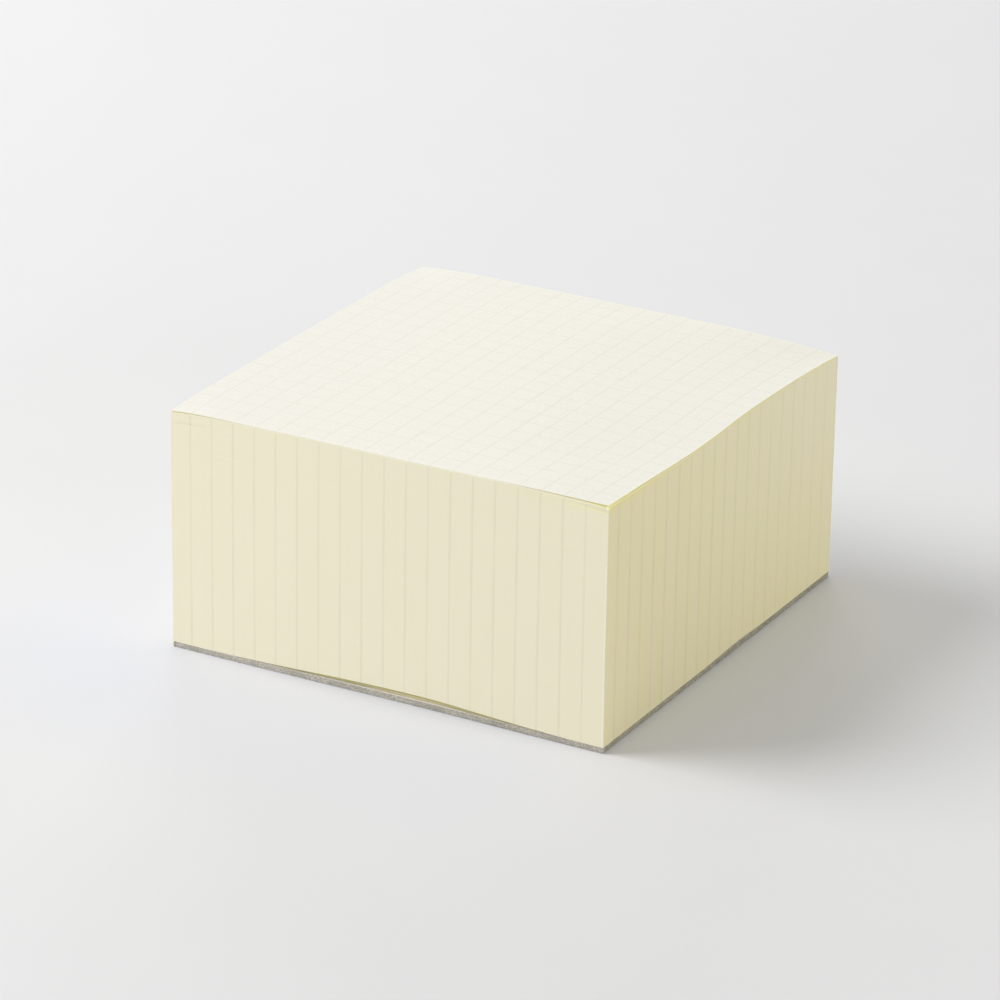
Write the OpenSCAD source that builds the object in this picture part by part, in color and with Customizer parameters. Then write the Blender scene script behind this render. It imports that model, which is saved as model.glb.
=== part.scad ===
// Square memo pad: a block of ruled cream sheets on a grey board, glued along its back edge.
// +Z is up through the stack, the open front edge faces -Y and the glued edge faces +Y.
// The origin is the middle of the footprint, on the table that the pad stands on.

/* [Sheets] */
// Width of a sheet, along the open front edge
sheet_w = 99.5; // [70:0.5:150]
// Depth of a sheet, from the front edge to the glued edge
sheet_d = 99.2; // [70:0.1:150]
// Height of the sheets at the glued edge, where they are pressed together
stack_h = 49.9; // [20:0.1:90]

/* [Backing board] */
// Thickness of the grey board under the sheets
board_t = 1.3; // [0.6:0.1:3]

/* [Glued edge] */
// Thickness of the glue film brushed over the back edge
glue_t = 0.3; // [0.2:0.05:1]
// Height of the film's lower edge over the table
glue_foot = 0.2; // [0.1:0.05:0.5]

/* [Ruling] */
// Side of one printed square
grid_pitch = 5; // [4:0.5:12]
// Distance of the first line from the left edge
first_line_x = 4.5; // [1:0.1:10]
// Distance of the first line from the front edge
first_line_y = 4.2; // [1:0.1:10]
// Width of a printed line
line_w = 0.25; // [0.15:0.05:0.6]
// Thickness of the ink film
ink_t = 0.05; // [0.03:0.01:0.1]
// Distance that the line ends on the cut sides stop short of the top and bottom edges
line_stop = 0.3; // [0.2:0.05:1]

/* [Waves in the top] */
// Rise of the top from the glued edge to the open front edge, where the sheets lie looser
front_rise = 1.15; // [0:0.05:3]
// Height of the lift in the front edge, near its right end
lift_h = 0.4; // [0:0.05:1.5]
// Distance of the lift's middle from the right side
lift_from_right = 13; // [0:1:30]
// Half the length of the lift
lift_half = 35; // [10:1:60]
// Distance that the lift reaches back from the front edge
lift_reach = 20; // [5:1:60]
// Depth of the sag in the right edge
sag_h = 0.5; // [0:0.05:1.5]
// Distance of the sag's middle from the front edge
sag_from_front = 36; // [10:1:60]
// Half the length of the sag
sag_half = 24; // [8:1:50]
// Height of the swell in the right edge, behind the sag
swell_h = 0.15; // [0:0.05:1]
// Distance of the swell's middle from the front edge
swell_from_front = 60; // [10:1:69]
// Half the length of the swell
swell_half = 16; // [8:1:50]
// Distance that the sag and the swell reach in from the right edge
ripple_reach = 35; // [5:1:70]
// Drop of the corner at the right end of the glued edge
right_droop = 1.3; // [0:0.05:3]
// Distance that this drop reaches from its corner
right_droop_reach = 30; // [5:1:60]
// Drop of the corner at the left end of the glued edge
left_droop = 0.8; // [0:0.05:3]
// Distance that this drop reaches from its corner
left_droop_reach = 18; // [5:1:60]
// Drop of the left corner of the front edge
front_droop = 0.5; // [0:0.05:2]
// Distance that this drop reaches from its corner
front_droop_reach = 12; // [5:1:60]

/* [Gaps over the board] */
// Height of the arch of the lowest sheets over the board, at the front edge
arch_h = 1.05; // [0:0.05:2]
// Distance of the arch's left foot from the left side
arch_from_left = 9; // [0:1:25]
// Distance of the arch's right foot from the right side
arch_from_right = 2.5; // [0:0.5:25]
// Distance that the arch reaches back under the sheets
arch_reach = 45; // [10:1:65]
// Height of the small gap in the right side
slot_h = 0.5; // [0:0.05:1]
// Distance of this gap's middle from the front edge
slot_from_front = 57; // [20:1:60]
// Half the length of this gap
slot_half = 14; // [5:1:20]
// Distance that this gap reaches in from the right side
slot_reach = 18; // [5:1:40]

/* [Hidden] */

left_x = -sheet_w / 2;
right_x = sheet_w / 2;
// The glue film at the back and the ink at the front count in the footprint
front_y = -(sheet_d + glue_t + ink_t) / 2 + ink_t;
back_y = front_y + sheet_d;

arch_half = (sheet_w - arch_from_left - arch_from_right) / 2;
arch_x = left_x + arch_from_left + arch_half;

// The last line of each set keeps its full width inside the sheet
lines_x = [for (at = [first_line_x : grid_pitch : sheet_w - line_w]) left_x + at];
lines_y = [for (at = [first_line_y : grid_pitch : sheet_d - line_w]) front_y + at];

// Both sides of each printed line, with the sheet's own edges
function marks(low, lines, high) = concat(
    [low],
    [for (line = lines) each [line - line_w / 2, line + line_w / 2]],
    [high]
);
top_xs = marks(left_x, lines_x, right_x);
top_ys = marks(front_y, lines_y, back_y);

// The underside is plainer than the top and has wider steps
under_steps_x = 16;
under_steps_y = 6;
under_xs = [for (i = [0 : under_steps_x]) left_x + sheet_w * i / under_steps_x];
under_ys = [for (j = [0 : under_steps_y]) front_y + sheet_d * j / under_steps_y];

// Smooth rise and fall: 1 at 0, and 0 from -1 outwards and from 1 outwards
function hump(t) = abs(t) < 1 ? (1 + cos(180 * t)) / 2 : 0;

// Drop at a distance from the corner that hangs down
function droop(distance, drop, reach) = drop * pow(max(0, 1 - distance / reach), 2);

// Height of the top sheet
function top_z(x, y) =
    let (
        from_left = x - left_x,
        from_right = right_x - x,
        from_front = y - front_y,
        from_back = back_y - y
    )
    board_t + stack_h
    + front_rise * from_back / sheet_d
    + lift_h * hump((from_right - lift_from_right) / lift_half) * hump(from_front / lift_reach)
    - sag_h * hump((from_front - sag_from_front) / sag_half) * hump(from_right / ripple_reach)
    + swell_h * hump((from_front - swell_from_front) / swell_half) * hump(from_right / ripple_reach)
    - droop(norm([from_right, from_back]), right_droop, right_droop_reach)
    - droop(norm([from_left, from_back]), left_droop, left_droop_reach)
    - droop(norm([from_left, from_front]), front_droop, front_droop_reach);

// Height of the lowest sheet, which lies on the board but for the arch and the small gap
function under_z(x, y) =
    board_t
    + arch_h * hump((x - arch_x) / arch_half) * hump((y - front_y) / arch_reach)
    + slot_h * hump((y - front_y - slot_from_front) / slot_half) * hump((right_x - x) / slot_reach);

// Triangles over a grid of points, clockwise seen from outside, on a side that faces up or down
function grid_faces(nx, ny, first, faces_up) = [
    for (i = [0 : nx - 2], j = [0 : ny - 2])
        let (a = first + i * ny + j, b = a + 1, c = b + ny, d = a + ny)
        each faces_up ? [[a, b, c], [a, c, d]] : [[a, c, b], [a, d, c]]
];

// The block of sheets, with its cut sides upright
module pages() {
    nx = len(top_xs);
    ny = len(top_ys);
    mx = len(under_xs);
    my = len(under_ys);
    first_under = nx * ny;
    top = [for (x = top_xs, y = top_ys) [x, y, top_z(x, y)]];
    under = [for (x = under_xs, y = under_ys) [x, y, under_z(x, y)]];
    front = concat(
        [for (i = [0 : nx - 1]) i * ny],
        [for (i = [mx - 1 : -1 : 0]) first_under + i * my]
    );
    back = concat(
        [for (i = [nx - 1 : -1 : 0]) i * ny + ny - 1],
        [for (i = [0 : mx - 1]) first_under + i * my + my - 1]
    );
    left = concat(
        [for (j = [ny - 1 : -1 : 0]) j],
        [for (j = [0 : my - 1]) first_under + j]
    );
    right = concat(
        [for (j = [0 : ny - 1]) (nx - 1) * ny + j],
        [for (j = [my - 1 : -1 : 0]) first_under + (mx - 1) * my + j]
    );
    color("#f4f1df")
        polyhedron(
            points = concat(top, under),
            faces = concat(
                grid_faces(nx, ny, 0, true),
                grid_faces(mx, my, first_under, false),
                [front, back, left, right]
            ),
            convexity = 4
        );
}

// The board is cut together with the sheets, so it has their outline
module backing_board() {
    color("#a39e91")
        translate([left_x, front_y, 0])
            cube([sheet_w, sheet_d, board_t]);
}

// The glue film covers the back edge up to the top sheet
module glue_binding() {
    outline = concat(
        [[left_x, glue_foot]],
        [for (x = top_xs) [x, top_z(x, back_y)]],
        [[right_x, glue_foot]]
    );
    color("#e9e7de")
        translate([0, back_y + glue_t, 0])
            rotate([90, 0, 0])
                linear_extrude(glue_t)
                    polygon(outline);
}

// The grid printed on the top sheet: a film over the strips of the top's own grid that lie on a line
module top_ruling() {
    nx = len(top_xs);
    ny = len(top_ys);
    first_under = nx * ny;
    // Strips are counted from 0 at the sheet's edge, so the odd ones are printed
    function inked(i, j) =
        i >= 0 && j >= 0 && i < nx - 1 && j < ny - 1 && (i % 2 == 1 || j % 2 == 1);
    function at(i, j) = i * ny + j;
    // Corners of one cell, clockwise seen from above, and the cell beyond each side
    corners = [[0, 0], [0, 1], [1, 1], [1, 0]];
    beyond = [[-1, 0], [0, 1], [1, 0], [0, -1]];
    cells = [for (i = [0 : nx - 2], j = [0 : ny - 2]) if (inked(i, j)) [i, j]];
    faces = [
        for (cell = cells)
            let (q = [for (c = corners) at(cell[0] + c[0], cell[1] + c[1])])
            each concat(
                [[q[0], q[1], q[2]], [q[0], q[2], q[3]]],
                [for (t = [[q[0], q[2], q[1]], [q[0], q[3], q[2]]]) [for (p = t) first_under + p]],
                [
                    for (k = [0 : 3])
                        if (!inked(cell[0] + beyond[k][0], cell[1] + beyond[k][1]))
                            let (p = q[k], n = q[(k + 1) % 4])
                            each [[n, p, first_under + p], [n, first_under + p, first_under + n]]
                ]
            )
    ];
    film = [for (z = [ink_t, 0], x = top_xs, y = top_ys) [x, y, top_z(x, y) + z]];
    color("#c9d3c4")
        polyhedron(points = film, faces = faces, convexity = 4);
}

// A line end on a cut side: the ends of one printed line in all the sheets, one above the other
module line_end(x, y, size) {
    low = under_z(x, y) + line_stop;
    high = top_z(x, y) - line_stop;
    translate([x, y, low])
        linear_extrude(high - low)
            translate([-size[0] / 2, -size[1] / 2])
                square(size);
}

// Line ends on the open front edge and on both sides; the glue covers those at the back
module edge_ruling() {
    color("#c3cdbb") {
        for (x = lines_x)
            line_end(x, front_y - ink_t / 2, [line_w, ink_t]);
        for (side = [-1, 1], y = lines_y)
            line_end(side * (right_x + ink_t / 2), y, [ink_t, line_w]);
    }
}

pages();
backing_board();
glue_binding();
top_ruling();
edge_ruling();
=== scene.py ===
# Memo pad: about five hundred ruled cream sheets on a grey board, glued along the back edge.
# Everything is in metres in the pad's own frame: +X along the open front edge, +Y to the glued edge, +Z up.
import math

import bpy
import numpy as np
from mathutils import Matrix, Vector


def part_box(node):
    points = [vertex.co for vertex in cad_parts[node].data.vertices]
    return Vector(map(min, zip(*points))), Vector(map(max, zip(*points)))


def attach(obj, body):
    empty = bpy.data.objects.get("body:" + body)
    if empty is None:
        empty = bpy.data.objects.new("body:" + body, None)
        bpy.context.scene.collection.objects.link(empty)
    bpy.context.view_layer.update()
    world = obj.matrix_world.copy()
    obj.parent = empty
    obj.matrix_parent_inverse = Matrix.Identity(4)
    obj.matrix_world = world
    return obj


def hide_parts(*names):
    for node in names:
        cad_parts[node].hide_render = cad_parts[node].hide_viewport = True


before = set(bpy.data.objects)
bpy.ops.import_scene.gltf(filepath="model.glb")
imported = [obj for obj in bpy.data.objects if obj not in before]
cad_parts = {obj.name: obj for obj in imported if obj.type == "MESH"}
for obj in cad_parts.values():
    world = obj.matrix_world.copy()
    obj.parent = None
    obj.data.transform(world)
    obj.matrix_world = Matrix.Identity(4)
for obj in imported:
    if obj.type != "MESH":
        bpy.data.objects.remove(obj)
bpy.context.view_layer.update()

# Camera
# It looks down on the near corner from the front right, with a long lens, as the pad was photographed.
# It stands a little over a metre away. Its turn, dip and roll are in radians.
MM = 0.001
camera_place = (488.7 * MM, -871.9 * MM, 450.0 * MM)
camera_turn = 0.51238
camera_dip = 0.40212
camera_roll = 0.0081
camera_data = bpy.data.cameras.new("camera")
camera_data.sensor_width = 36.0
camera_data.lens = 190.70
camera_data.clip_start = 0.05
camera_data.clip_end = 20.0
camera = bpy.data.objects.new("camera", camera_data)
camera.matrix_world = (
    Matrix.Translation(camera_place)
    @ Matrix.Rotation(camera_turn, 4, "Z")
    @ Matrix.Rotation(math.pi / 2 - camera_dip, 4, "X")
    @ Matrix.Rotation(camera_roll, 4, "Z")
)
bpy.context.scene.collection.objects.link(camera)
bpy.context.scene.camera = camera

# Backing board
# A plate of grey board pressed from waste paper, held by the glue at the back. It is cut in one stroke with
# the sheets that lie on it: the knife leaves its edge fibrous and presses the lower arris round.
board_low, board_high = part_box("backing_board")
board_t = board_high.z
left_x, right_x = board_low.x, board_high.x
front_y, back_y = board_low.y, board_high.y
sheet_w, sheet_d = right_x - left_x, back_y - front_y
board_steps = 150
# Rows up the edge: share of the thickness, and how far the surface stands in, in millimetres
edge_rows = [
    (0.0, 0.11), (0.05, 0.05), (0.14, 0.02), (0.3, 0.0), (0.5, 0.0), (0.7, 0.0), (0.88, 0.01), (1.0, 0.04)
]
fibre_depth = 0.035 * MM
# Rings on both faces, from the edge towards the middle, as shares of the board's size
face_rings = (0.985, 0.93, 0.85, 0.7, 0.4, 0.05)
# Along the front edge the board is pressed down at its left end, and cut a little hollow in its middle
pressed_depth = 0.1 * MM
hollow_depth = 0.29 * MM
# The sheets arch off the board there. Millimetres from the left side to the highest part of the arch, how
# far that part reaches to either side, and how far the arch goes back
arch_middle, arch_reach, arch_back = 57, 36, 45


def hump(t):
    """Smooth rise and fall: 1 at 0, and 0 from -1 outwards and from 1 outwards."""
    return np.where(np.abs(t) < 1, (1 + np.cos(np.pi * np.clip(t, -1, 1))) / 2, 0.0)


def hump_at(distance, middle, reach):
    """A hump around this middle, which ends this far to either side of it. Both are in millimetres."""
    return hump((distance - middle * MM) / (reach * MM))


def wander(chance, count, knots, size):
    """A smooth random line through this many knots, within about plus or minus size."""
    at = np.linspace(0, knots - 1, count)
    values = chance.uniform(-1, 1, knots + 1)
    low = np.floor(at).astype(int)
    part = at - low
    part = part * part * (3 - 2 * part)
    return size * (values[low] * (1 - part) + values[low + 1] * part)


def make_piece(name, points, faces, place, face_slots=None, smooth_angle=None):
    """A mesh object. The materials use the place of each point on the piece, which is in millimetres."""
    mesh = bpy.data.meshes.new(name)
    mesh.from_pydata([tuple(p) for p in points], [], [tuple(int(i) for i in f) for f in faces])
    values = np.asarray(place, np.float32).ravel()
    mesh.attributes.new("place", "FLOAT_VECTOR", "POINT").data.foreach_set("vector", values)
    if face_slots is not None:
        mesh.polygons.foreach_set("material_index", np.asarray(face_slots, np.int32))
    mesh.polygons.foreach_set("use_smooth", np.full(len(faces), smooth_angle is not None))
    mesh.update()
    if smooth_angle is not None:
        mesh.set_sharp_from_angle(angle=math.radians(smooth_angle))
    piece = bpy.data.objects.new(name, mesh)
    bpy.context.scene.collection.objects.link(piece)
    return piece


def rim(xs, ys):
    """Grid indices of the points round a rectangle, anticlockwise from the front left corner."""
    nx, ny = len(xs) - 1, len(ys) - 1
    return (
        [(i, 0) for i in range(nx)]
        + [(nx, j) for j in range(ny)]
        + [(i, ny) for i in range(nx, 0, -1)]
        + [(0, j) for j in range(ny, 0, -1)]
    )


def rim_places(xs, ys):
    """Where the points of the rim lie, and which way is inwards at each of them, along x and along y."""
    x = np.array([xs[i] for i, j in rim(xs, ys)])
    y = np.array([ys[j] for i, j in rim(xs, ys)])
    return x, y, (x == xs[0]) * 1.0 - (x == xs[-1]) * 1.0, (y == ys[0]) * 1.0 - (y == ys[-1]) * 1.0


def slots_round(xs, ys, front, right, back, left):
    """The material number of each face round the rim, side after side."""
    nx, ny = len(xs) - 1, len(ys) - 1
    return [front] * nx + [right] * ny + [back] * nx + [left] * ny


def next_ring(points, count):
    """The numbers that the next points will get, this many of them."""
    return list(range(len(points), len(points) + count))


def band(lower, upper):
    """Faces between two closed rings of points, seen from outside."""
    count = len(lower)
    return [(lower[k], lower[(k + 1) % count], upper[(k + 1) % count], upper[k]) for k in range(count)]


def board_top(x, y):
    """Height of the board's upper face, which is pressed down at the left end of the front edge."""
    return board_t - pressed_depth * hump_at(x - left_x, 4, 20) * hump_at(y - front_y, 0, arch_back)


def hollow(x):
    """How far the cut along the front edge runs back in its middle."""
    return hollow_depth * hump_at(x - left_x, arch_middle, arch_reach)


chance = np.random.RandomState(11)
board_xs = np.linspace(left_x, right_x, board_steps + 1)
board_ys = np.linspace(front_y, back_y, board_steps + 1)
rim_x, rim_y, inward_x, inward_y = rim_places(board_xs, board_ys)
board_points, board_faces, rings = [], [], []
for share, stand_in in edge_rows:
    # Single fibres, and the slower wander of the cut through them
    fibres = np.abs(chance.normal(0, 0.5, len(rim_x)) + wander(chance, len(rim_x), 90, 0.8))
    depth = stand_in * MM + fibre_depth * np.clip(fibres, 0, 1.6)
    x, y = rim_x + inward_x * depth, rim_y + inward_y * depth + (rim_y == front_y) * hollow(rim_x)
    rings.append(next_ring(board_points, len(rim_x)))
    board_points += list(zip(x, y, share * board_top(rim_x, rim_y)))
for lower, upper in zip(rings, rings[1:]):
    board_faces += band(lower, upper)
middle_x, middle_y = (left_x + right_x) / 2, (front_y + back_y) / 2
for ring, share, upward in ((rings[0], 0.0, False), (rings[-1], 1.0, True)):
    for size in face_rings:
        x, y = middle_x + (rim_x - middle_x) * size, middle_y + (rim_y - middle_y) * size
        inside = next_ring(board_points, len(rim_x))
        board_points += list(zip(x, y, share * board_top(x, y)))
        board_faces += band(ring, inside) if upward else band(inside, ring)
        ring = inside
    board_faces.append(tuple(inside) if upward else tuple(reversed(inside)))
# Materials: 0 on the front and back edges and 1 on the sides, each from one step past the corner, and 2 on
# the faces
board_slots = np.roll(slots_round(board_xs, board_ys, 0, 1, 0, 1), 1).tolist() * (len(edge_rows) - 1)
board_slots += [2] * (len(board_faces) - len(board_slots))
board_place = (np.array(board_points) - (left_x, front_y, 0)) / MM
board = make_piece("grey_board", board_points, board_faces, board_place, board_slots, 40)


def node(tree, kind, sockets=None, **settings):
    """A shader node with its settings and inputs: a socket is linked, and a plain value is set."""
    made = tree.nodes.new("ShaderNode" + kind)
    for key, value in settings.items():
        setattr(made, key, value)
    for key, value in (sockets or {}).items():
        if isinstance(value, bpy.types.NodeSocket):
            tree.links.new(value, made.inputs[key])
        else:
            made.inputs[key].default_value = value
    return made


def maths(tree, operation, *values):
    """One sum on numbers and sockets."""
    return node(tree, "Math", dict(enumerate(values)), operation=operation).outputs[0]


def coordinates(tree, place):
    """The place on the piece as three sockets: from the left side, from the front, and up from the table."""
    return node(tree, "SeparateXYZ", {0: place}).outputs


def stretched(tree, vector, scale):
    """The place on the piece, in millimetres, with each direction scaled."""
    return node(tree, "VectorMath", {0: vector, 1: scale}, operation="MULTIPLY").outputs[0]


def noise(tree, vector, scale, detail=3.0, roughness=0.55):
    """Soft random values from 0 to 1."""
    sockets = {"Vector": vector, "Scale": scale, "Detail": detail, "Roughness": roughness}
    return node(tree, "TexNoise", sockets).outputs["Fac"]


def ramp(tree, value, low, high, to_low=0.0, to_high=1.0):
    """A value carried from one range to another and held there."""
    sockets = {"Value": value, "From Min": low, "From Max": high, "To Min": to_low, "To Max": to_high}
    return node(tree, "MapRange", sockets, interpolation_type="SMOOTHSTEP").outputs["Result"]


def blend(tree, share, first, second, how="MIX"):
    """Two colours mixed."""
    made = node(tree, "Mix", {"Factor": share}, data_type="RGBA", blend_type=how)
    for socket, colour in ((6, first), (7, second)):
        if isinstance(colour, bpy.types.NodeSocket):
            tree.links.new(colour, made.inputs[socket])
        else:
            made.inputs[socket].default_value = (*colour, 1.0)
    return made.outputs[2]


def new_material(name):
    """An empty material, its node tree, and the place on the piece in millimetres."""
    material = bpy.data.materials.new(name)
    material.use_nodes = True
    material.node_tree.nodes.clear()
    place = node(material.node_tree, "Attribute", attribute_name="place").outputs["Vector"]
    return material, material.node_tree, place


def finish_material(material, colour, relief, depth, roughness, specular):
    """Closes a material with its colour and with its relief of this depth."""
    tree = material.node_tree
    bump = node(tree, "Bump", {"Height": relief, "Distance": depth, "Strength": 1.0})
    surface = node(tree, "BsdfPrincipled", {
        "Base Color": colour,
        "Roughness": roughness,
        "Specular IOR Level": specular,
        "Normal": bump.outputs["Normal"],
    })
    out = node(tree, "OutputMaterial")
    tree.links.new(surface.outputs[0], out.inputs["Surface"])
    return material


def edge_distance(tree, place):
    """Distance to the nearest cut edge, in millimetres."""
    from_left, from_front, up = coordinates(tree, place)
    across = maths(tree, "MINIMUM", from_left, maths(tree, "SUBTRACT", sheet_w / MM, from_left))
    along = maths(tree, "MINIMUM", from_front, maths(tree, "SUBTRACT", sheet_d / MM, from_front))
    return maths(tree, "MINIMUM", across, along)


def board_material(name, ground, dark, light, contrast):
    """Pressed waste paper: short fibres of several greys, with a few dark and light flecks."""
    material, tree, place = new_material(name)
    fibres = noise(tree, stretched(tree, place, (1.0, 1.0, 1.6)), 2.6, 4.0, 0.75)
    clouds = noise(tree, place, 0.3, 2.0)
    flecks = noise(tree, stretched(tree, place, (0.8, 0.8, 1.6)), 3.1, 1.0, 0.5)
    colour = blend(tree, ramp(tree, fibres, 0.40, 0.62), dark, light)
    colour = blend(tree, contrast, ground, colour)
    colour = blend(tree, ramp(tree, clouds, 0.4, 0.7, 0.0, 0.3), colour, dark)
    colour = blend(tree, ramp(tree, flecks, 0.68, 0.76, 0.0, 0.5), colour, light)
    return material, tree, place, colour, fibres


board_roughness, board_specular = 0.95, 0.2
dark_front = (0.27, 0.245, 0.20)
material, tree, place, colour, fibres = board_material(
    "board_front_edge", ground=(0.535, 0.505, 0.435), dark=dark_front, light=(0.80, 0.775, 0.70),
    contrast=0.6,
)
# The front edge is a shade darker towards the right
from_left = coordinates(tree, place)[0]
colour = blend(tree, ramp(tree, from_left, 15.0, 75.0, 0.0, 0.19), colour, dark_front)
board_front = finish_material(material, colour, fibres, 0.1 * MM, board_roughness, board_specular)
# The side edges are painted yellower than the front edge: painted warm bounce light, as the shaded right
# side gets it. The left edge has the same colour.
material, tree, place, colour, fibres = board_material(
    "board_side_edge", ground=(0.413, 0.385, 0.284), dark=(0.21, 0.19, 0.134), light=(0.64, 0.61, 0.47),
    contrast=0.6,
)
painted_bounce_board_side = finish_material(material, colour, fibres, 0.1 * MM, board_roughness, board_specular)
material, tree, place, colour, fibres = board_material(
    "board_face", ground=(0.52, 0.50, 0.45), dark=(0.38, 0.36, 0.31), light=(0.64, 0.62, 0.57), contrast=0.5
)
# The upper face shows only in the gaps under the sheets, where light that has bounced off the cream paper
# tints it: a pale strip along the rim, and deep yellow further in. The underside is plain board.
pale_strip = blend(tree, 0.9, colour, (0.97, 0.97, 0.98))
lit_rim = ramp(tree, edge_distance(tree, place), 2.1, 1.3)
lit_face = blend(tree, lit_rim, (0.99, 0.84, 0.40), pale_strip)
height = coordinates(tree, place)[2]
colour = blend(tree, ramp(tree, height, 0.3, 0.9), colour, lit_face)
board_face = finish_material(material, colour, fibres, 0.06 * MM, board_roughness, board_specular)
for material in (board_front, painted_bounce_board_side, board_face):
    board.data.materials.append(material)
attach(board, "root")
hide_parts("backing_board")

# Block of sheets
# About five hundred sheets of uncoated cream paper, printed with squares, cut to one size in a pile and
# held by the glue at the back. The pile leans, bows, rises away from the glue and arches off its board.
paper_t = 0.1 * MM
loose_t = 0.35 * MM
air = 0.003 * MM
stack_h = 49.9 * MM
front_rise = 1.15 * MM
lean_x, lean_y = 0.0066, 0.0038
bow = 0.05 * MM
block_steps = 36
# Extra steps next to the edges, where the sheets lift and droop
edge_marks = [0.25 * MM, 0.6 * MM, 1.0 * MM]
# Waves of the top sheet: the front edge lifts near its right end, the right edge sags and swells, the whole
# sheet has a broad crown, and the front edge one of its own
lift_height, sag_depth, swell_height = 0.4 * MM, 0.5 * MM, 0.15 * MM
crown_height, front_crown_height = 0.66 * MM, 0.18 * MM
# How far from the left and right sides the arch in the lowest sheets ends, and the small gap on the right
arch_from_left, arch_from_right = 9 * MM, 2.5 * MM
right_gap_height = 0.35 * MM
# The last sheets fill this share of the arch, from a distance behind its edge that goes with its height
hanging_share, hanging_slope = 0.96, 0.75


def spaced(low, high, steps, marks):
    """Even steps from low to high, with extra ones close to both ends."""
    return np.unique(np.concatenate([
        np.linspace(low, high, steps + 1),
        [low + m for m in marks],
        [high - m for m in marks],
    ]))


def uneven_hump(distance, middle, reach_before, reach_after):
    """A hump that reaches further on one side of its middle than on the other, in millimetres."""
    before, after = hump_at(distance, middle, reach_before), hump_at(distance, middle, reach_after)
    return np.where(distance < middle * MM, before, after)


def droop(distance, drop, reach):
    """Drop at a distance from a corner that hangs down this far. Drop and reach are in millimetres."""
    return drop * MM * np.maximum(0, 1 - distance / (reach * MM)) ** 2


def top_z(x, y):
    """Height of the top sheet, with the waves that a pile of loose sheets has."""
    from_left, from_right = x - left_x, right_x - x
    from_front, from_back = y - front_y, back_y - y
    lift = hump_at(from_right, 13, 35) * hump_at(from_front, 0, 20)
    sag = hump_at(from_front, 36, 24) * hump_at(from_right, 0, 35)
    swell = hump_at(from_front, 60, 16) * hump_at(from_right, 0, 35)
    crown = uneven_hump(x, -4.6, 57.8, 51.6) * uneven_hump(from_front, 83.9, 77.1, 18.8)
    front_crown = hump_at(from_left, 48, 45) * hump_at(from_front, 0, 80)
    return (
        board_t + stack_h + front_rise * from_back / sheet_d
        + lift_height * lift - sag_depth * sag + swell_height * swell
        + crown_height * crown + front_crown_height * front_crown
        - droop(np.hypot(from_right, from_back), 1.3, 30)
        - droop(np.hypot(from_left, from_back), 0.8, 18)
        - droop(np.hypot(from_left, from_front), 0.5, 12)
    )


def arch(x, y):
    """Height of the arch in the lowest sheets along the open front edge: three humps, one on the other."""
    from_left = x - left_x
    half = (sheet_w - arch_from_left - arch_from_right) / 2
    whole = hump((from_left - arch_from_left - half) / half)
    middle, crest = hump_at(from_left, arch_middle, arch_reach), hump_at(from_left, 61, 14)
    rise = 1.09 * whole + 0.14 * middle + 0.1 * crest
    return rise * MM * hump_at(y - front_y, 0, arch_back)


def under_z(x, y):
    """Height of the lowest sheet: it arches off the board along the front, and a little on the right."""
    right_gap = hump_at(y - front_y, 57, 14) * hump_at(right_x - x, 0, 18)
    return board_top(x, y) + arch(x, y) + right_gap_height * right_gap


def hanging(x, y):
    """How far the last sheets, which aren't pressed against the others, hang down in the arch."""
    reach = hanging_slope * arch(x, front_y) + air
    return hanging_share * arch(x, y) * np.clip((y - front_y) / reach, 0, 1)


def corner(from_side, from_front, side_reach, front_reach):
    """1 at a front corner, and 0 from a slanting line across it. Both reaches are in millimetres."""
    return np.maximum(0, 1 - from_side / (side_reach * MM) - from_front / (front_reach * MM))


def first_gap(x, y):
    """Air under the top sheet: open at both front corners and just open along the right edge."""
    from_left, from_right, from_front = x - left_x, right_x - x, y - front_y
    near = corner(from_right, from_front, 24, 25) ** 1.2
    tip = np.maximum(0, 1 - np.hypot(from_right, from_front) / (6 * MM)) ** 2
    far = corner(from_left, from_front, 20, 14) ** 1.2
    edge = np.maximum(0, 1 - from_right / (6 * MM)) ** 1.5 * (1 - 0.65 * from_front / sheet_d)
    return 0.30 * MM * near + 0.20 * MM * tip + 0.18 * MM * far + 0.12 * MM * edge


def second_gap(x, y):
    """Air under the few sheets below it, at the near corner only."""
    return 0.06 * MM * corner(right_x - x, y - front_y, 6, 16)


def block_top(x, y):
    """Height of the pile under the loose sheets."""
    return top_z(x, y) - first_gap(x, y) - second_gap(x, y) - paper_t - loose_t - 2 * air


def leant(x, y, z):
    """The pile's lean and bow: each sheet has slid a little over the one below."""
    share = z / (board_t + stack_h)
    return np.stack([x + lean_x * z - bow * 4 * share * (1 - share), y + lean_y * z, z], -1)


chance = np.random.RandomState(5)
block_xs = spaced(left_x, right_x, block_steps, edge_marks)
block_ys = spaced(front_y, back_y, block_steps, edge_marks)
rim_x, rim_y, inward_x, inward_y = rim_places(block_xs, block_ys)
rim_low = under_z(rim_x, rim_y)
rim_high = block_top(rim_x, rim_y)

# Sheets cling together in bunches of one to five; each bunch lies a hair further in or out
sheets_in_block = 497
jog_size, jog_wander = 0.004 * MM, 0.003 * MM
bunches = []
while sum(bunches) < sheets_in_block:
    bunches.append(int(chance.choice([1, 2, 3, 4, 5])))
levels = np.concatenate([[0], np.cumsum(bunches)]) / sum(bunches)
jogs = chance.normal(0, jog_size, (len(bunches), 4))

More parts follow.
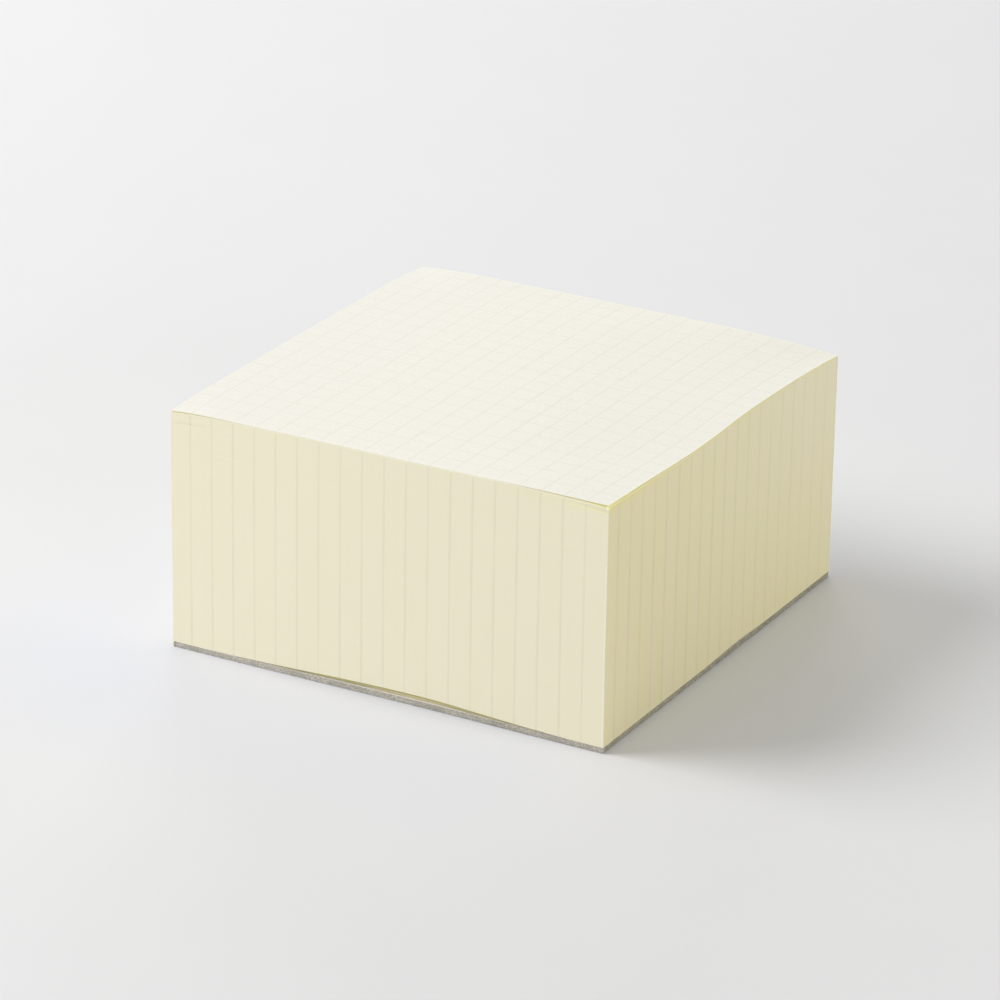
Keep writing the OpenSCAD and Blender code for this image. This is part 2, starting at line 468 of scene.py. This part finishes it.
# Places where the pile has opened a little, all in millimetres: distance of the crack's middle along the rim
# from the front left corner, half its length, how far it is below the top, and how deep it goes in
cracks = [(3.0, 9.5, 1.9, 0.09), (14.0, 7.0, 7.2, 0.05), (96.0, 7.0, 0.6, 0.1)]
rim_along = np.concatenate([[0], np.cumsum(np.hypot(np.diff(rim_x), np.diff(rim_y)))])
block_points, block_place, block_faces, block_slots, rings = [], [], [], [], []
for count, jog, low_share, high_share in zip(bunches, jogs, levels, levels[1:]):
    wander_x = wander(chance, len(rim_x), 30, jog_wander)
    wander_y = wander(chance, len(rim_x), 30, jog_wander)
    stand_x = jog[0] * (rim_x == left_x) + jog[1] * (rim_x == right_x) + wander_x
    stand_y = jog[2] * (rim_y == front_y) + jog[3] * (rim_y == back_y) + wander_y
    below_top = (1 - (low_share + high_share) / 2) * stack_h
    for middle, half, depth_below, inset in cracks:
        if abs(below_top - depth_below * MM) < paper_t * count / 2 + 0.02 * MM:
            opened = inset * MM * hump_at(rim_along, middle, half)
            stand_x, stand_y = stand_x + opened, stand_y + opened
    for share in (low_share, high_share):
        z = rim_low + (rim_high - rim_low) * share
        rings.append(next_ring(block_points, len(rim_x)))
        block_points += list(leant(rim_x + inward_x * stand_x, rim_y + inward_y * stand_y, z))
        block_place += list(zip(rim_x - left_x, rim_y - front_y, z))
# Materials: 0 on the front and back, 1 on the right side, 2 on top, 3 below, 4 on the left side
for lower, upper in zip(rings, rings[1:]):
    block_faces += band(lower, upper)
    block_slots += slots_round(block_xs, block_ys, 0, 1, 0, 4)
grid_x, grid_y = np.meshgrid(block_xs, block_ys, indexing="ij")
foot_height = under_z(grid_x, grid_y) - hanging(grid_x, grid_y)
for ring, height, upward in ((rings[0], foot_height, False), (rings[-1], block_top(grid_x, grid_y), True)):
    number = np.zeros(grid_x.shape, int)
    for k, (i, j) in enumerate(rim(block_xs, block_ys)):
        number[i, j] = ring[k]
    for i in range(1, len(block_xs) - 1):
        for j in range(1, len(block_ys) - 1):
            number[i, j] = len(block_points)
            block_points.append(leant(grid_x[i, j], grid_y[i, j], height[i, j]))
            block_place.append((grid_x[i, j] - left_x, grid_y[i, j] - front_y, height[i, j]))
    for i in range(len(block_xs) - 1):
        for j in range(len(block_ys) - 1):
            corners = (number[i, j], number[i + 1, j], number[i + 1, j + 1], number[i, j + 1])
            block_faces.append(corners if upward else corners[::-1])
            block_slots.append(2 if upward else 3)
block = make_piece("sheet_block", block_points, block_faces, np.array(block_place) / MM, block_slots, 30)

# Printed squares in millimetres: their pitch, the width of a line, and how far the first lines lie from the
# left side and from the front edge
ruling_pitch = 5.0
line_width = 0.34
first_line = (4.5, 4.2)
# Length of a cut side over which its tones shift, in millimetres
cut_length = 99.0
paper_roughness, paper_specular = 0.9, 0.25
paper_relief = 0.02 * MM


def ruled(tree, distance, first, width, soft):
    """1 on a printed line and 0 between the lines, from the distance to the sheet's edge in millimetres."""
    turns = maths(tree, "DIVIDE", maths(tree, "SUBTRACT", distance, first), ruling_pitch)
    off = maths(tree, "ABSOLUTE", maths(tree, "SUBTRACT", turns, maths(tree, "ROUND", turns)))
    return ramp(tree, maths(tree, "MULTIPLY", off, ruling_pitch), width / 2 + soft, width / 2 - soft)


def tinted(tree, colour, *shades):
    """A colour made lighter or darker by each of these shades."""
    for shade in shades:
        every = node(tree, "CombineXYZ", {0: shade, 1: shade, 2: shade}).outputs[0]
        colour = node(tree, "VectorMath", {0: colour, 1: every}, operation="MULTIPLY").outputs[0]
    return colour


def paper_grain(tree, place):
    """The fine grain of uncoated paper."""
    return noise(tree, place, 2.2, 5.0, 0.65)


def cut_material(
    name, axis, paper, warm, cool, layer_share, ink, width, soft, loose_tone, loose_from, loose_to,
    painted_start_shade=1.0, painted_end_shade=1.0, painted_rim_shade=1.0, painted_pale_share=0.0, ink_at_end=1.0, arris=None,
):
    """The cut edges of the sheets: fine layers, upright knife streaks, and the ends of the printed lines.

    A side starts at the left or the front and ends at the right or the back, along x or y as axis says.
    """
    material, tree, place = new_material(name)
    parts = coordinates(tree, place)
    along, up = parts[axis], parts[2]
    layers = noise(tree, stretched(tree, place, (0.03, 0.03, 5.0)), 1.0, 3.0, 0.7)
    strokes = noise(tree, stretched(tree, place, (1.0, 1.0, 0.02)), 1.1, 4.0, 0.7)
    patches = noise(tree, stretched(tree, place, (1.0, 1.0, 0.35)), 0.12, 3.0, 0.55)
    fine = noise(tree, place, 2.2, 2.0)
    streaks = maths(tree, "MULTIPLY_ADD", fine, 0.5, maths(tree, "SUBTRACT", strokes, 0.25))
    colour = blend(tree, ramp(tree, streaks, 0.35, 0.65), warm, cool)
    colour = blend(tree, ramp(tree, patches, 0.35, 0.65, 0.25, 0.75), colour, paper)
    # Painted light and shade: the tone may shift a little from start to end, and in the first half
    # millimetre
    to_end = ramp(tree, along, 0.0, cut_length)
    colour = tinted(
        tree, colour,
        maths(tree, "MULTIPLY_ADD", layers, layer_share, 1.0 - layer_share / 2),
        maths(tree, "MULTIPLY_ADD", to_end, painted_end_shade - painted_start_shade, painted_start_shade),
        ramp(tree, along, 0.1, 0.5, painted_rim_shade, 1.0),
    )
    # The uppermost sheets lie loose at the front corners, and yellow light comes out between them
    loose = maths(tree, "MULTIPLY", ramp(tree, up, 50.0, 51.3), ramp(tree, along, loose_from, loose_to))
    colour = blend(tree, maths(tree, "MULTIPLY", loose, 0.7), colour, loose_tone)
    # Painted light: a side may also grow paler towards the top of its end
    pale = maths(tree, "MULTIPLY", to_end, ramp(tree, up, 0.0, 50.0))
    colour = blend(tree, maths(tree, "MULTIPLY", pale, painted_pale_share), colour, (0.896, 0.85, 0.66))
    if arris:
        # A painted highlight: this arris is painted pale where it catches the light, most of all at the foot
        # of the pile
        arris_highlight = ramp(tree, along, *arris)
        low_down = ramp(tree, up, 48.0, 12.0, 0.5, 1.0)
        colour = blend(tree, maths(tree, "MULTIPLY", arris_highlight, low_down), colour, (0.91, 0.87, 0.71))
    # From sheet to sheet the print lies up to an eighth of a millimetre off, and some lines are fainter
    slide = noise(tree, stretched(tree, place, (0.05, 0.05, 1.6)), 1.0, 2.0)
    printed = maths(tree, "ADD", along, maths(tree, "MULTIPLY_ADD", slide, 0.24, -0.12))
    lines = ruled(tree, printed, first_line[axis], width, soft)
    inking = noise(tree, stretched(tree, place, (0.3, 0.3, 0.05)), 1.0, 1.0)
    faint = ramp(tree, inking, 0.35, 0.65, 0.55, 1.0)
    faint = maths(tree, "MULTIPLY", faint, ramp(tree, along, 0.0, cut_length, 1.0, ink_at_end))
    colour = blend(tree, maths(tree, "MULTIPLY", lines, faint), colour, ink, "MULTIPLY")
    relief = maths(tree, "ADD", maths(tree, "MULTIPLY", layers, 0.4), maths(tree, "MULTIPLY", strokes, 0.6))
    return finish_material(material, colour, relief, 0.012 * MM, paper_roughness, paper_specular)


# Painted shading on the front: a little darker towards its right end and in its first half millimetre at the
# left, and a painted highlight along its right arris.
cut_front = cut_material(
    "cut_front", axis=0,
    paper=(0.882, 0.834, 0.636), warm=(0.884, 0.836, 0.654), cool=(0.88, 0.835, 0.615), layer_share=0.025,
    ink=(0.911, 0.932, 0.926), width=0.44, soft=0.14,
    loose_tone=(0.88, 0.825, 0.56), loose_from=70.0, loose_to=95.0,
    painted_start_shade=1.005, painted_end_shade=0.98, painted_rim_shade=0.97, arris=(98.95, 99.25),
)
# The right side lies in shade. Its paper is painted yellower than the front's, for the warm light that it
# gets there, and its painted shading grows lighter towards the back and paler near the top at the back.
cut_right_painted_bounce = cut_material(
    "cut_right_painted_bounce", axis=1,
    paper=(0.894, 0.815, 0.529), warm=(0.925, 0.814, 0.577), cool=(0.867, 0.824, 0.471), layer_share=0.035,
    ink=(0.915, 0.932, 0.92), width=0.75, soft=0.32, ink_at_end=0.62,
    loose_tone=(0.886, 0.80, 0.42), loose_from=45.0, loose_to=15.0,
    painted_start_shade=0.955, painted_end_shade=1.012, painted_pale_share=0.45,
)
# The lamp shines straight on the left side, so its paper is painted a shade darker than the front's
cut_left = cut_material(
    "cut_left", axis=1,
    paper=(0.80, 0.757, 0.585), warm=(0.802, 0.758, 0.6), cool=(0.798, 0.757, 0.565), layer_share=0.025,
    ink=(0.911, 0.932, 0.926), width=0.44, soft=0.14,
    loose_tone=(0.80, 0.75, 0.51), loose_from=30.0, loose_to=5.0,
)


def face_material(name, papers, ink, first, rim_colours, rim_width, all_round):
    """An uncoated sheet seen from above: faint clouds, fine grain, the printed squares, and its rim.

    The two papers are its tones at the left and at the right. The rim's two colours are those at the front
    and at the right side. Where it isn't all round, it is along the front and the right side only.
    """
    material, tree, place = new_material(name)
    parts = coordinates(tree, place)
    from_right = maths(tree, "SUBTRACT", sheet_w / MM, parts[0])
    grain = paper_grain(tree, place)
    clouds = noise(tree, place, 0.25, 3.0, 0.6)
    colour = tinted(
        tree, blend(tree, ramp(tree, parts[0], 0.0, 60.0), *papers),
        maths(tree, "MULTIPLY_ADD", grain, 0.22, 0.89), maths(tree, "MULTIPLY_ADD", clouds, 0.02, 0.99),
    )
    shift = maths(tree, "MULTIPLY_ADD", noise(tree, place, 0.12, 2.0), 0.16, -0.08)
    # The lines that run from left to right are printed fainter
    lines = maths(tree, "MAXIMUM", *[
        maths(tree, "MULTIPLY", share, ruled(
            tree, maths(tree, "ADD", parts[axis], shift), first[axis], line_width, 0.08
        ))
        for axis, share in ((0, 1.0), (1, 0.75))
    ])
    strength = ramp(tree, noise(tree, place, 0.6, 4.0, 0.7), 0.35, 0.65, 0.5, 1.15)
    colour = blend(tree, maths(tree, "MULTIPLY", lines, strength), colour, ink)
    inside = edge_distance(tree, place) if all_round else maths(tree, "MINIMUM", parts[1], from_right)
    rim_colour = blend(tree, ramp(tree, from_right, 0.7, 0.4), *rim_colours)
    colour = blend(tree, ramp(tree, inside, rim_width, rim_width * 0.6), colour, rim_colour)
    return finish_material(material, colour, grain, paper_relief, paper_roughness, paper_specular)


def plain_paper(name, colour):
    """Paper without print: only its grain."""
    material, tree, place = new_material(name)
    grain = paper_grain(tree, place)
    mixed = blend(tree, grain, colour, [c * 0.97 for c in colour])
    return finish_material(material, mixed, grain, paper_relief, paper_roughness, paper_specular)


# Light that has bounced from sheet to sheet in a narrow gap comes out deep yellow
front_gap, side_gap = (0.74, 0.69, 0.33), (0.99, 0.95, 0.46)
sheet_tone = (0.824, 0.805, 0.73)
sheet_face = face_material(
    "sheet_face", papers=(sheet_tone, sheet_tone), ink=(0.70, 0.73, 0.66), first=first_line,
    rim_colours=(front_gap, side_gap), rim_width=3.0, all_round=True,
)
# In the arch the hanging sheets are painted: painted shade just behind the front edge, and painted yellow
# light from a millimetre in
block_foot, tree, place = new_material("block_underside")
grain = paper_grain(tree, place)
from_front = coordinates(tree, place)[1]
colour = blend(tree, ramp(tree, from_front, 0.2, 0.9), (0.54, 0.475, 0.21), (0.89, 0.79, 0.49))
colour = blend(tree, maths(tree, "MULTIPLY", grain, 0.06), colour, (0.5, 0.5, 0.4))
finish_material(block_foot, colour, grain, paper_relief, paper_roughness, paper_specular)
for material in (cut_front, cut_right_painted_bounce, sheet_face, block_foot, cut_left):
    block.data.materials.append(material)
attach(block, "root")
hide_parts("pages", "edge_ruling")

# Loose top sheets
# The uppermost sheets, of the same printed paper, are held only by the glue at the back. Their front corners
# have curled up, so that a thin line of air shows under them.
sheet_steps = 60
rim_step = 0.12 * MM
droop_reach = 0.45 * MM
# How far the top sheet's rims draw back, as a share of the gap under them
top_curl = 0.35
# The top sheet's print lies a little off that of the pile
printed_first = (4.67, 5.1)


def loose_sheet(name, upper, lower, material, curl):
    """One or a few sheets between two surfaces, cut square. Where they curl up, their rims draw back."""
    xs = spaced(left_x, right_x, sheet_steps, [rim_step, droop_reach])
    ys = spaced(front_y, back_y, sheet_steps, [rim_step, droop_reach])
    gx, gy = np.meshgrid(xs, ys, indexing="ij")
    points, place = [], []
    back = curl * first_gap(gx, gy)
    for height in (upper(gx, gy), lower(gx, gy)):
        points += list(leant(gx - np.sign(gx) * back, gy + back, height).reshape(-1, 3))
        place += list(np.stack([gx - left_x, gy - front_y, height], -1).reshape(-1, 3))
    ny = len(ys)
    under = len(xs) * ny
    faces, slots = [], []
    for i in range(len(xs) - 1):
        for j in range(ny - 1):
            a, b, c, d = i * ny + j, (i + 1) * ny + j, (i + 1) * ny + j + 1, i * ny + j + 1
            faces += [(a, b, c, d), (under + d, under + c, under + b, under + a)]
            slots += [0, 1]
    ring = [i * ny + j for i, j in rim(xs, ys)]
    faces += band([under + k for k in ring], ring)
    slots += slots_round(xs, ys, 2, 3, 2, 2)
    sheet = make_piece(name, points, faces, np.array(place) / MM, slots, 30)
    for layer in (material, underside, front_rim, side_rim):
        sheet.data.materials.append(layer)
    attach(sheet, "root")
    return sheet


def drooping(x, y):
    """1 at the rims and 0 from a short way in, where the loose sheets still touch."""
    inward = np.minimum(np.minimum(x - left_x, right_x - x), y - front_y)
    return np.clip(1 - inward / droop_reach, 0, 1)


# Painted light: the sheets' undersides are painted bright yellow, and their rims on the right side deep
# yellow, for the light that comes out of the gaps between them.
underside = plain_paper("sheet_underside", (0.99, 0.95, 0.70))
front_rim = plain_paper("sheet_front_rim", (0.905, 0.86, 0.675))
side_rim = plain_paper("sheet_side_rim", (0.95, 0.86, 0.50))
pale_rim = (0.855, 0.84, 0.765)
# The top sheet is painted a little lighter towards the right: painted light.
top_face = face_material(
    "top_sheet_face", papers=((0.808, 0.787, 0.718), (0.821, 0.803, 0.715)), ink=(0.745, 0.741, 0.65),
    first=printed_first, rim_colours=(pale_rim, pale_rim), rim_width=0.3, all_round=False,
)
top_sheet = loose_sheet("top_sheet", top_z, lambda x, y: top_z(x, y) - paper_t, top_face, top_curl)
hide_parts("top_ruling")
loose_sheet(
    "next_sheets",
    lambda x, y: top_z(x, y) - paper_t - air - first_gap(x, y) * drooping(x, y),
    lambda x, y: top_z(x, y) - paper_t - loose_t - air - first_gap(x, y),
    sheet_face, 0.0,
)

# Glue film
# Padding glue, milky and a little rubbery, brushed over the back edge of the pressed pile. It dries to a
# thin film that holds all the sheets and the board together.
glue_low, glue_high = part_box("glue_binding")
glue_t = glue_high.y - glue_low.y
glue_cols, glue_rows = 110, 64
brush_depth = 0.05 * MM
lowest_mark, highest_mark = -0.1 * MM, 0.06 * MM
# The film soaks into the pile a little, and thins out at its top and bottom edges
soaked_in = 0.02 * MM
thinned, thin_share = 0.12 * MM, 0.02
chance = np.random.RandomState(23)
gx, gs = np.meshgrid(np.linspace(left_x, right_x, glue_cols), np.linspace(0, 1, glue_rows), indexing="ij")
glue_y = np.full_like(gx, back_y)
gz = glue_low.z + (top_z(gx, glue_y) - glue_low.z) * gs
brush = np.array([wander(chance, glue_cols, 9, brush_depth) for _ in range(glue_rows)]).T * 0.4
brush += wander(chance, glue_rows, 22, brush_depth)[None, :]
brush = np.clip(brush, lowest_mark, highest_mark)
thin_edge = thinned * (1 - np.clip(np.minimum(gs, 1 - gs) / thin_share, 0, 1)) ** 2
outer = leant(gx, glue_y + glue_t - highest_mark + brush - thin_edge, gz)
inner = leant(gx, glue_y - soaked_in, gz)
glue_points = list(outer.reshape(-1, 3)) + list(inner.reshape(-1, 3))
glue_place = np.tile(np.stack([gx - left_x, np.zeros_like(gx), gz], -1).reshape(-1, 3), (2, 1))
count = glue_cols * glue_rows
glue_faces = []
for i in range(glue_cols - 1):
    for j in range(glue_rows - 1):
        a, b = i * glue_rows + j, i * glue_rows + j + 1
        c, d = b + glue_rows, a + glue_rows
        glue_faces += [(a, b, c, d), (count + d, count + c, count + b, count + a)]
glue_ring = [i * glue_rows + j for i, j in rim(range(glue_cols), range(glue_rows))]
glue_edge = band(glue_ring, [count + k for k in glue_ring])
glue_slots = [0] * len(glue_faces) + [1] * len(glue_edge)
glue = make_piece("glue_film", glue_points, glue_faces + glue_edge, glue_place / MM, glue_slots, 50)
material, tree, place = new_material("padding_glue")
strokes = noise(tree, stretched(tree, place, (0.08, 1.0, 1.4)), 1.0, 4.0, 0.6)
skin = noise(tree, place, 1.3, 3.0)
colour = blend(tree, ramp(tree, strokes, 0.3, 0.7), (0.80, 0.78, 0.70), (0.76, 0.74, 0.65))
relief = maths(tree, "ADD", strokes, maths(tree, "MULTIPLY", skin, 0.3))
glue.data.materials.append(finish_material(material, colour, relief, 0.05 * MM, 0.42, 0.45))
glue.data.materials.append(plain_paper("glue_edge", (0.97, 0.92, 0.74)))
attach(glue, "root")
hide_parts("glue_binding")

# Table
# A plain pale tabletop that runs out of view on all sides. It isn't part of the pad.
table_half = 3.0
table_points = [
    (-table_half, -table_half, 0), (table_half, -table_half, 0),
    (table_half, table_half, 0), (-table_half, table_half, 0),
]
table_light, table_dark = (0.738, 0.738, 0.738), (0.732, 0.732, 0.732)
painted_shade_beside_pad, painted_foot_shadow = (0.702, 0.709, 0.752), (0.68, 0.69, 0.73)
table = make_piece("table_top", table_points, [(0, 1, 2, 3)], np.array(table_points) / MM)
material, tree, place = new_material("table_top")
tooth = noise(tree, place, 0.8, 3.0)
clouds = ramp(tree, noise(tree, place, 0.02, 3.0), 0.3, 0.7)
colour = blend(tree, clouds, table_light, table_dark)
# The lit cream sides throw yellow light on the table in front and on the left. There the table is painted a
# shade darker and bluer, so that it stays neutral grey next to the pad: painted shade. Right at the board's
# foot it is painted darker still, as a painted contact shadow.
parts = coordinates(tree, place)
beyond_x = maths(tree, "MAXIMUM", maths(tree, "SUBTRACT", left_x / MM, parts[0]), 0.0)
beyond_y = maths(tree, "MAXIMUM", maths(tree, "SUBTRACT", front_y / MM, parts[1]), 0.0)
away = maths(tree, "SQRT", maths(
    tree, "ADD", maths(tree, "MULTIPLY", beyond_x, beyond_x), maths(tree, "MULTIPLY", beyond_y, beyond_y)
))
lit_side = maths(
    tree, "MULTIPLY", ramp(tree, parts[0], right_x / MM + 6.0, right_x / MM - 20.0),
    ramp(tree, parts[1], back_y / MM + 10.0, back_y / MM - 20.0),
)
toned = maths(tree, "MULTIPLY", lit_side, ramp(tree, away, 70.0, 10.0))
colour = blend(tree, toned, colour, painted_shade_beside_pad)
foot = maths(tree, "MULTIPLY", lit_side, ramp(tree, away, 7.0, 1.5))
colour = blend(tree, maths(tree, "MULTIPLY", foot, 0.5), colour, painted_foot_shadow)
table.data.materials.append(finish_material(material, colour, tooth, 0.02 * MM, 0.9, 0.2))

# Light
# A broad soft lamp from the left, and plain light all round as in a studio tent, with two weaker lamps
# low on the right and behind.
lamps = [
    # name, compass turn and rise in degrees, distance, width of its disk, power
    ("soft_box", -70, 40, 1.6, 1.1, 20.0),
    ("right_card", 60, 10, 1.8, 1.0, 6.7),
    ("back_card", -150, 10, 1.8, 1.0, 10.5),
]
aim_height = 0.03
tent_strength = 0.546
for name, turn, rise, distance, width, power in lamps:
    lamp_data = bpy.data.lights.new(name, "AREA")
    lamp_data.shape = "DISK"
    lamp_data.size = width
    lamp_data.energy = power
    lamp = bpy.data.objects.new(name, lamp_data)
    aim = Matrix.Rotation(math.radians(turn), 4, "Z") @ Matrix.Rotation(math.radians(90 - rise), 4, "X")
    lamp.matrix_world = (
        Matrix.Translation((0, 0, aim_height)) @ aim @ Matrix.Translation((0, 0, distance))
    )
    bpy.context.scene.collection.objects.link(lamp)
world = bpy.data.worlds.new("world")
bpy.context.scene.world = world
world.use_nodes = True
world.node_tree.nodes["Background"].inputs["Color"].default_value = (1, 1, 1, 1)
world.node_tree.nodes["Background"].inputs["Strength"].default_value = tent_strength
bpy.context.scene.view_settings.view_transform = "Standard"
